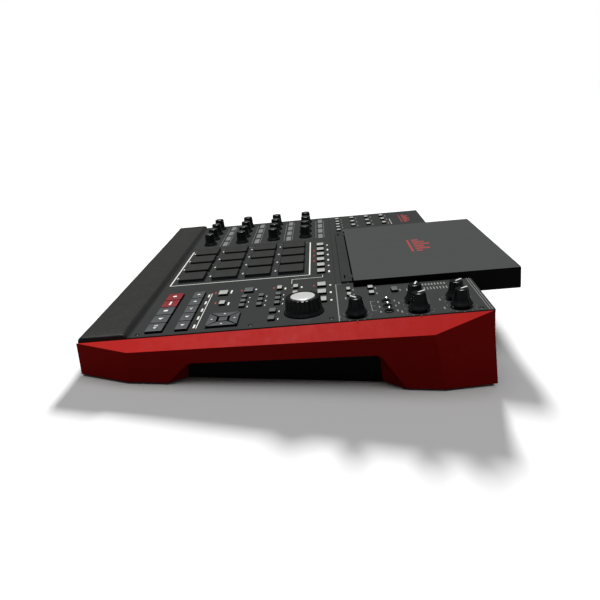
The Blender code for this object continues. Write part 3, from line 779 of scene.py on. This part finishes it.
def add_pots():
    profile = [(3.4, -9.0), (3.4, 0.6), (7.2, 0.6), (7.3, 2.7), (10.0, 2.9), (10.3, 3.3),
               (10.2, 4.0), (9.6, 4.8), (8.6, 6.4), (7.7, 8.4), (7.3, 10.0), (6.8, 13.5),
               (6.35, 16.6), (6.0, 17.5), (5.4, 17.85), (4.7, 17.7), (0.6, 17.65)]
    mesh = ribbed("pot_knob_ribbed", profile, 9, 0.75, (6.0, 17.3), 7)
    pointer = bmesh.new()
    add_plate(pointer, (-0.8, 0.8), (-5.9, 0.6), (17.6, 18.0), to=local)
    add_plate(pointer, (-0.8, 0.8), (-7.3, -5.9), (13.0, 18.0), to=local)
    line = finish_mesh(pointer, "pot_pointer")
    for number in range(1, 6):
        node = f"pot_knob_{number}"
        x, u = joint_place(node + "_turn")
        turn = Matrix.Rotation(math.radians(POINTER_TURN[number - 1]), 4, 'Z')
        place = at(x, u) @ turn
        add_piece(node + "_ribbed", mesh, node, "knob_black", KNOB, matrix=place, replaces=(node,))
        add_piece(node + "_pointer", line, node, "knob_black", PRINT_WHITE, matrix=place)


def add_data_wheel():
    profile = [(4.0, -9.0), (4.0, 0.6), (19.2, 0.6), (19.5, 1.0), (19.2, 1.8), (18.2, 3.0),
               (17.8, 4.4), (17.5, 8.0), (17.2, 12.0), (17.0, 14.6), (16.7, 15.5), (15.9, 16.0),
               (12.7, 16.1), (12.3, 15.9), (12.0, 15.2), (0.6, 15.1)]
    mesh = ribbed("data_wheel_ribbed", profile, 22, 1.05, (3.5, 15.9))
    place = at(*WHEEL)
    add_piece("data_wheel_ribbed", mesh, "data_wheel", "knob_black", KNOB, matrix=place,
              replaces=("data_wheel",))
    disc = bmesh.new()
    add_disc(disc, 0.0, 0.0, [(11.7, 15.3), (11.7, 16.1), (11.4, 16.45), (10.6, 16.65), (5.0, 16.75),
                              (0.5, 16.75)], to=local, steps=48)
    add_piece("data_wheel_disc", disc, "data_wheel", "wheel_cap", SILVER, matrix=place,
              replaces=("data_wheel_cap",))


def add_toggles():
    for number in range(1, 4):
        node = f"toggle_lever_{number}"
        dress(node, CHROME)
        pivot = joint_place(node + "_flip")
        bm = bmesh.new()
        add_disc(bm, 0.0, 0.0, [(3.0, -1.0), (4.6, 0.05), (4.6, 0.9), (4.2, 1.2), (3.1, 1.2),
                                (3.0, 0.9)], to=local, steps=24, bored=True)
        add_piece(node + "_nut", bm, "chassis", "case_black", SCREW, matrix=at(*pivot))


# ---------------- keypads
KEY_ROUND = 0.4
KEY_SINK = 4.4  # how far a key reaches below its top
KEY_SKIRT = 0.3  # black part starts this far below the top
KEY_GAP = 0.25  # how far a key's sides stay inside its outline
CURSOR = (211.5, 247.0)  # middle of the cursor keys
CURSOR_REACH = 19.0
TRANSPORT_U = 275.0  # the transport keys are in front of this
WIDE_KEY = 20.0  # and wider than this
RIGHT_KEYS_X = 115.0  # the right keypad's keys are right of this
WEBS = {  # each keypad's webs: x from and to, u from and to
    "right_keypad": ((116.0, 232.5, 193.5, 321.5), (116.0, 156.0, 175.0, 193.2)),
    "centre_keypad": ((-63.0, 184.0, 145.5, 159.0), (143.2, 173.0, 73.5, 145.2)),
    "left_keypad": ((-220.0, -129.9, 121.0, 129.5), (-220.0, -153.0, 51.0, 120.7)),
}
WEB_W = (-5.2, -3.6)  # a web's lower and upper face


def key_tops(node):
    """Outlines of a keypad's keys, as lists of (x, u), and the height of their tops."""
    bm = welded(node)
    top = max(panel_place(v.co)[2] for v in bm.verts)
    outlines = []
    for face in bm.faces:
        corners = [panel_place(v.co) for v in face.verts]
        if min(w for _, _, w in corners) > top - 0.05:
            outlines.append([(x, u) for x, u, _ in corners])
    bm.free()
    outlines.sort(key=lambda outline: (round(outline[0][1], 1), outline[0][0]))
    return outlines, top


def key_finish(x, u, across):
    """Which silicone colour a key has, from where it is."""
    if u > TRANSPORT_U and x > RIGHT_KEYS_X and across > WIDE_KEY:
        red = u > 300 and x < 155
        return KEY_RED if red else KEY_DARK
    if math.hypot(x - CURSOR[0], u - CURSOR[1]) < CURSOR_REACH:
        return KEY_DARK
    column = 190 < u < 240 and not (x < 135 and u < 200)
    rear = 70 < u < 90
    return KEY_GREY if x > RIGHT_KEYS_X and (column or rear) else KEY_PALE


def add_key(name, outline, top, node):
    """One key over its CAD outline.  Returns its middle and its width."""
    x = sum(p[0] for p in outline) / len(outline)
    u = sum(p[1] for p in outline) / len(outline)
    across = max(p[0] for p in outline) - min(p[0] for p in outline)
    along = max(p[1] for p in outline) - min(p[1] for p in outline)
    slim, shallow = 1 - 2 * KEY_GAP / across, 1 - 2 * KEY_GAP / along
    bm = bmesh.new()
    stack(bm, [[local((px - x) * slim, (pu - u) * shallow, w) for px, pu in outline]
               for w in (top - KEY_SINK, top)])
    bmesh.ops.recalc_face_normals(bm, faces=bm.faces)
    edges = [e for e in bm.edges if max(v.co.z for v in e.verts) > (top - 0.01) * MM]
    bmesh.ops.bevel(bm, geom=edges, offset=KEY_ROUND * MM, segments=3, profile=0.5,
                    affect='EDGES')
    for face in bm.faces:
        skirt = face.calc_center_median().z < (top - KEY_SKIRT) * MM
        face.material_index = 1 if skirt else 0
    mesh = finish_mesh(bm, name, 50.0)
    add_piece(name, mesh, node, "key_silicone", key_finish(x, u, across), KEY_BLACK,
              matrix=at(x, u))
    return x, u, across


def add_keypads():
    """Each keypad as its web and its keys.  Returns (x, u, top) of the transport keys."""
    transport = []
    for node, webs in WEBS.items():
        bm = bmesh.new()
        for x0, x1, u0, u1 in webs:
            add_cap(bm, (x0 + x1) / 2, (u0 + u1) / 2, (x1 - x0, u1 - u0),
                    ((0.2, WEB_W[0]), (0.0, WEB_W[0] + 0.2), (0.0, WEB_W[1] - 0.2),
                     (0.2, WEB_W[1])), 2.0)
        add_piece(node + "_web", bm, node, "key_silicone", KEY_BLACK, replaces=(node,))
        outlines, top = key_tops(node)
        for number, outline in enumerate(outlines, start=1):
            x, u, across = add_key(f"{node}_key_{number:02d}", outline, top, node)
            if across > WIDE_KEY and u > TRANSPORT_U:
                transport.append((x, u, top))
    return transport


# ---------------- prints, screens and trim
PRINT_W = (-0.05, 0.07)  # lower and upper face of a print
COLUMN_X, COLUMN_PITCH = -54.4, 25.26  # the row of keys behind the encoders
DIAL = 13.6  # radius of the dots round a pot


def print_bar(bm, x, u, across, along, w=PRINT_W):
    """A bar about x and u: across is its size in x, along its size in u."""
    add_plate(bm, (x - across / 2, x + across / 2), (u - along / 2, u + along / 2), w)


def print_rows(bm, xs, us, across, along):
    """The same bar at every x of every u."""
    for x in xs:
        for u in us:
            print_bar(bm, x, u, across, along)


def print_triangle(bm, x, u, size, turn, w):
    """A triangle whose tip points turn degrees from x, towards the rear."""
    corners = [math.radians(turn + 120 * k) for k in range(3)]
    rings = []
    for level in w:
        rings.append([spot(x + size * math.cos(a), u - size * math.sin(a), level) for a in corners])
    stack(bm, rings)


def print_dot(bm, x, u, radius, w=PRINT_W):
    add_disc(bm, x, u, [(radius, w[0]), (radius, w[1])], steps=10)


def pad_frame(white, grey):
    """White line round the pads: strong along the front and the rear, fine down the sides."""
    middles = [middle_of("pad_" + cell) for cell in GRID]
    xs = [m[0] for m in middles]
    us = [m[1] for m in middles]
    x0, x1 = min(xs) - 16.6, max(xs) + 23.8
    u0, u1 = min(us) - 21.5, max(us) + 22.6
    print_rows(white, ((x0 + x1) / 2,), (u0, u1), x1 - x0, 1.5)
    print_bar(white, x1, (u0 + u1) / 2, 1.3, u1 - u0)
    print_bar(grey, x0, (u0 + u1) / 2, 0.6, u1 - u0)
    for x, u, _ in middles:
        print_bar(white, x - 4.0, u + 19.3, 2.6, 1.7)
        print_bar(white, x - 6.8, u + 19.3, 1.2, 1.7)


def window_places():
    """Middles of the small screens, one behind each encoder."""
    for cell in GRID:
        x, u = joint_place(f"link_knob_{cell}_turn")
        yield cell, x + 1.3, u - 21.4


def add_small_screens(grey):
    """The small screens, and a fine line before and behind each row of them."""
    for cell, x, u in window_places():
        bm = bmesh.new()
        levels = ((0.0, -0.1), (0.0, 0.1), (0.25, 0.22))
        add_cap(bm, x, u, (23.5, 6.4), levels, 0.7)
        add_piece("small_screen_" + cell, bm, "chassis", "display_glass", WINDOW)
    for u in sorted({round(u, 1) for _, _, u in window_places()}):
        print_rows(grey, (-158.0,), (u - 5.2, u + 6.4), 116.0, 0.4)


def key_labels(white, red):
    """Short marks beside the keys in place of their words."""
    print_bar(white, 174.0, 271.0, 104.0, 0.7)
    for k in range(5):
        print_bar(white, 129.0 + 22.8 * k, 273.6, 9.0, 1.8)
    for x, u, across in ((120.4, 267.5, 6.5), (119.2, 239.4, 5.0), (155.6, 262.9, 5.5),
                         (119.6, 204.0, 5.5)):
        print_bar(red, x, u, across, 1.8)
    for x, u, across in ((120.7, 250.2, 11.0), (119.1, 223.5, 4.0), (160.7, 248.6, 8.5),
                         (124.6, 191.4, 6.0), (124.2, 173.8, 5.0), (147.3, 173.8, 6.0)):
        print_bar(white, x, u, across, 1.7)
    print_rows(white, (146.4, 160.4, 174.6), (227.9, 210.1, 192.2), 3.4, 0.9)
    for x, u in ((196.7, 200.7), (218.0, 200.8)):
        print_bar(white, x, u - 6.2, 4.0, 0.9)
    print_bar(white, 124.0, 183.9, 0.5, 1.6)


def column_labels(white, red):
    """Marks beside the row of keys behind the encoders, and on to its right."""
    for k, across in enumerate((4.5, 7.5, 6.0, 7.0, 3.5, 7.5)):
        print_bar(white, COLUMN_X + COLUMN_PITCH * k, 143.1, across, 2.0)
    for k in (1, 2, 3):
        print_bar(red, COLUMN_X + COLUMN_PITCH * k, 160.5, 8.0, 1.6)
    for x, across in ((125.0, 4.0), (150.0, 5.0), (175.0, 4.0)):
        print_bar(white, x, 143.1, across, 2.0)
    for x in (150.0, 125.0):
        print_bar(red, x - 2.0, 160.5, 5.0, 1.5)
    print_bar(white, 93.0, 168.0, 0.8, 35.0)
    print_bar(white, 88.5, 150.8, 9.0, 0.5)
    print_bar(white, 101.0, 185.2, 16.0, 0.5)


def rear_labels(grey):
    """Marks of the rear right section: meter, knobs, toggles and small keys."""
    for k in range(8):
        u = 48.7 - 3.17 * k
        print_bar(grey, 149.8, u, 5.6, 1.3)
        print_bar(grey, 162.9, u, 7.6, 1.0)
    print_bar(grey, 162.6, 66.2, 7.0, 1.2)
    print_bar(grey, 203.0, 105.6, 27.0, 0.5)
    print_rows(grey, (189.6, 203.0, 216.5), (103.6,), 0.5, 4.2)
    print_bar(grey, 173.7, 128.7, 6.0, 1.4)
    for x, u in ((225.5, 121.2), (225.0, 63.5), (200.0, 63.5), (224.0, 24.5), (200.0, 24.5)):
        for step in range(11):
            angle = math.radians(-60 + 30 * step)
            print_dot(grey, x + DIAL * math.cos(angle), u - DIAL * math.sin(angle), 0.45)
        print_bar(grey, x, u + 15.6, 5.5, 1.1)
    print_rows(grey, (192.5, 207.0, 221.0), (82.6, 98.2), 4.5, 1.1)
    print_rows(grey, (188.5,), (-0.4, 2.0), 97.0, 0.5)
    print_rows(grey, (148.5, 165.8), (119.9, 96.8), 5.5, 1.1)
    print_bar(grey, 160.8, 73.0, 5.5, 1.1)


def left_labels(white, grey):
    """Marks of the rear left section's keys, and a line in front of them."""
    print_rows(grey, (-212.7, -186.4, -160.0), (95.0, 72.5, 49.5), 7.0, 1.2)
    for k in range(5):
        print_bar(grey, -212.1 + 19.4 * k, 118.0, 5.0, 1.1)
    print_bar(white, -169.3, 45.5, 37.0, 0.6)


def left_badge(red):
    """Plain badge of slanted bars on the rear left section."""
    for k, along in enumerate((5.0, 9.5, 7.0, 10.5, 6.0, 9.0, 4.5)):
        x = -207.0 + 7.6 * k
        print_bar(red, x, 26.0 - along / 2, 5.0, along)
    print_bar(red, -184.2, 29.4, 50.6, 1.4)


def seams(black, highlight_ink):
    """Joints of the panel's sections, as thin black lines, with painted highlights along the lit
    edges of the rear right section.
    """
    print_bar(black, -56.0, 137.3, 362.0, 0.7)
    # painted highlights where the rear right section's edges catch the light
    print_bar(highlight_ink, 181.0, 137.3, 112.4, 0.9)
    print_bar(highlight_ink, 125.2, 127.9, 0.5, 18.6)
    rest_u = min(u for _, u, _ in places_of("palm_rest"))
    print_bar(black, 0.0, rest_u - 1.4, 474.0, 2.2)


def add_prints():
    """All printed marks, joined into one piece for each colour."""
    inks = {colour: bmesh.new() for colour in ("white", "grey", "red", "black")}
    pad_frame(inks["white"], inks["grey"])
    add_small_screens(inks["grey"])
    key_labels(inks["white"], inks["red"])
    column_labels(inks["white"], inks["red"])
    rear_labels(inks["grey"])
    left_labels(inks["white"], inks["grey"])
    left_badge(inks["red"])
    seams(inks["black"], inks["grey"])
    for colour, ink in (("white", PRINT_WHITE), ("grey", PRINT_GREY), ("red", PRINT_RED),
                        ("black", GROOVE)):
        add_piece("panel_print_" + colour, inks[colour], "chassis", "panel_charcoal", ink)


def add_icons(transport):
    """Plain symbols on the transport keys: arrows, bars and discs."""
    bm = bmesh.new()
    top = transport[0][2]
    w = (top - 0.05, top + 0.06)
    for number, (x, u, _) in enumerate(sorted(transport, key=lambda key: (-key[1], key[0]))):
        column = number % 5
        if number < 5 and column == 0:
            print_dot(bm, x, u, 2.3, w)
        elif number < 5 and column == 1:
            print_bar(bm, x, u, 10.5, 2.0, w)
        elif number < 5 and column == 2:
            print_bar(bm, x, u, 4.2, 4.2, w)
        elif number < 5 and column == 3:
            print_triangle(bm, x, u, 3.1, 0, w)
        elif number < 5:
            print_triangle(bm, x + 2.4, u, 2.2, 0, w)
            print_bar(bm, x - 2.2, u, 1.0, 3.8, w)
            print_bar(bm, x - 4.2, u, 1.0, 3.8, w)
        elif column in (0, 1):
            print_triangle(bm, x, u, 2.5, 180, w)
        elif column == 2:
            print_bar(bm, x - 1.6, u, 1.0, 3.4, w)
            print_bar(bm, x + 1.2, u, 3.0, 1.0, w)
        else:
            print_triangle(bm, x, u, 2.5, 0, w)
    arrows = ((13.5, 0.0, 0), (0.0, 11.0, 270), (-13.5, 0.0, 180), (0.0, -11.0, 90))
    for dx, du, turn in arrows:
        print_triangle(bm, CURSOR[0] + dx, CURSOR[1] + du, 1.5, turn, (top - 0.05, top + 0.05))
    add_piece("transport_icons", bm, "right_keypad", "key_silicone", PRINT_WHITE)


# ---------------- screws and the hidden sides
PANEL_SCREW = ((2.4, -0.2), (2.4, 0.05), (2.1, 0.28), (1.3, 0.3), (1.15, 0.1), (0.2, 0.05))
COVER_SCREW = ((2.6, -0.2), (2.6, 0.15), (2.2, 0.32), (1.3, 0.34), (1.15, 0.1), (0.2, 0.05))
PANEL_SCREWS = ((230.6, 325.0), (228.4, 219.7), (227.8, 144.4), (230.6, 8.0))
SCREW_STEPS = 18


def add_screws():
    """Countersunk socket screws along both sides of the panel."""
    bm = bmesh.new()
    for side in (1, -1):
        for x, u in PANEL_SCREWS:
            add_disc(bm, side * x, u, PANEL_SCREW, steps=SCREW_STEPS)
    add_piece("panel_screws", bm, "chassis", "steel", SCREW)


def upside_down(levels, face_w):
    """Levels of a turned solid that hangs from a face at face_w."""
    return [(radius, face_w - w) for radius, w in levels]


def add_display_underside():
    """Screws and two rubber bumpers under the display."""
    lid = bmesh.new()
    low_w = min(w for _, _, w in places_of("display_shell"))
    for x in (-100.0, 110.0):
        for u in (-48.0, 92.0):
            add_disc(lid, x, u, upside_down(COVER_SCREW, low_w), steps=SCREW_STEPS)
    add_piece("display_screws", lid, "display", "steel", SCREW)
    bumpers = bmesh.new()
    for x in (-88.0, 98.0):
        add_disc(bumpers, x, 8.0, upside_down(((4.0, -0.2), (4.0, 0.9), (3.3, 1.3)), low_w),
                 steps=20)
    add_piece("display_bumpers", bumpers, "display", "foot_rubber", RUBBER)


def under(x, y, z):
    """A point of the row frame, from millimetres, with y towards the player."""
    return Vector((x, -y, z)) * MM


def add_case_underside():
    """Screws and a blank label under the bottom case."""
    base_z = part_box("bottom_case")[0].z / MM
    base = bmesh.new()
    for x in (-215.0, -75.0, 75.0, 215.0):
        for y in (-150.0, 0.0, 145.0):
            add_disc(base, x, -y, upside_down(COVER_SCREW, base_z), to=under, steps=SCREW_STEPS)
    add_piece("bottom_screws", base, "chassis", "steel", SCREW)
    label = bmesh.new()
    add_plate(label, (-45.0, 45.0), (-95.0, -50.0), (base_z - 0.12, base_z + 0.1), to=under)
    add_piece("blank_label", label, "chassis", "case_black", LABEL)


def add_rear_marks():
    """A plain mark over each socket of the rear panel."""
    marks = bmesh.new()
    face_u = min(u for _, u, _ in places_of("rear_panel"))
    rooms = stated_rooms()
    bay_top = rooms["connector_bay"][1][2]
    over_bay = panel_place(Vector((0.0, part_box("rear_panel")[1].y, bay_top)))[2] + 4.0
    for name, (low, high) in rooms.items():
        if "socket" in name or name == "power_inlet":
            x = (low[0] + high[0]) / 2 / MM
            half = 6.5 if name.startswith("din") else 4.5
            add_plate(marks, (x - half, x + half), (face_u - 0.06, face_u + 0.05),
                      (over_bay, over_bay + 1.5))
    add_piece("rear_marks", marks, "chassis", "case_black", PRINT_GREY)


# ---------------- sockets
NUT_SINK = 0.0012  # how far, in metres, a nut starts inside its socket's room


def stated_rooms():
    """Boxes, in metres, of the openings that the record states, by name."""
    return {room["name"]: room["box_m"] for room in frame["record"]["physics"]["openings"]}


def level_ring(bm, centre, levels, steps=24):
    """A turned ring about a level axis that points to the rear: levels are (radius, distance)."""
    stack(bm, [[centre + Vector((radius * c, out, radius * s)) * MM for c, s in circle(steps)]
               for radius, out in levels], bored=True)


def sleeve(bm, low, high):
    """Thin metal frame round a square socket."""
    def as_given(x, y, z):
        return Vector((x, y, z))

    thick, proud = 0.5 * MM, 1.4 * MM
    outer_x = (low[0] - thick, high[0] + thick)
    depth = (high[1] - 3 * thick, high[1] + proud)
    for z in ((low[2] - thick, low[2]), (high[2], high[2] + thick)):
        add_plate(bm, outer_x, depth, z, to=as_given)
    for x in ((low[0] - thick, low[0]), (high[0], high[0] + thick)):
        add_plate(bm, x, depth, (low[2], high[2]), to=as_given)


def pin_circle(bm, middle):
    """Five pins in an arc inside a round socket."""
    for step in range(5):
        angle = math.radians(45 * step)
        centre = middle + Vector((2.9 * math.cos(angle), -5.0, -2.9 * math.sin(angle))) * MM
        level_ring(bm, centre, [(0.1, 0.0), (0.1, 3.8), (0.7, 3.6), (0.7, 0.0)], 8)


def add_sockets():
    """Nuts of the audio sockets, sleeves and pins of the others."""
    metal = bmesh.new()
    black = bmesh.new()
    for name, (low, high) in stated_rooms().items():
        middle = Vector(((low[0] + high[0]) / 2, high[1] - NUT_SINK, (low[2] + high[2]) / 2))
        if name.startswith("audio_socket"):
            level_ring(metal, middle, [(3.5, 0.0), (3.5, 1.9), (3.9, 2.2), (5.2, 2.2), (5.6, 1.8),
                                       (5.6, 0.0)])
            level_ring(black, middle, [(5.8, 0.0), (5.8, 0.9), (7.0, 0.9), (7.3, 0.5), (7.3, 0.0)])
        elif name.startswith("din_socket"):
            level_ring(metal, middle, [(7.1, 0.0), (7.1, 1.0), (8.6, 1.0), (8.9, 0.6), (8.9, 0.0)],
                       steps=32)
            pin_circle(metal, middle)
        elif name.startswith("usb_socket"):
            sleeve(metal, low, high)
        elif name.startswith("power"):
            level_ring(black, middle, [(4.1, 0.0), (4.1, 1.2), (6.2, 1.2), (6.5, 0.8), (6.5, 0.0)])
    add_piece("socket_nuts", metal, "chassis", "steel", STEEL)
    add_piece("socket_sleeves", black, "chassis", "case_black", CASE)


# ---------------- assembly
add_camera()
add_stage()
add_casing()
add_palm_rest()
add_display()
add_pads()
add_link_knobs()
add_pots()
add_data_wheel()
add_toggles()
add_icons(add_keypads())
add_prints()
add_screws()
add_display_underside()
add_case_underside()
add_rear_marks()
add_sockets()
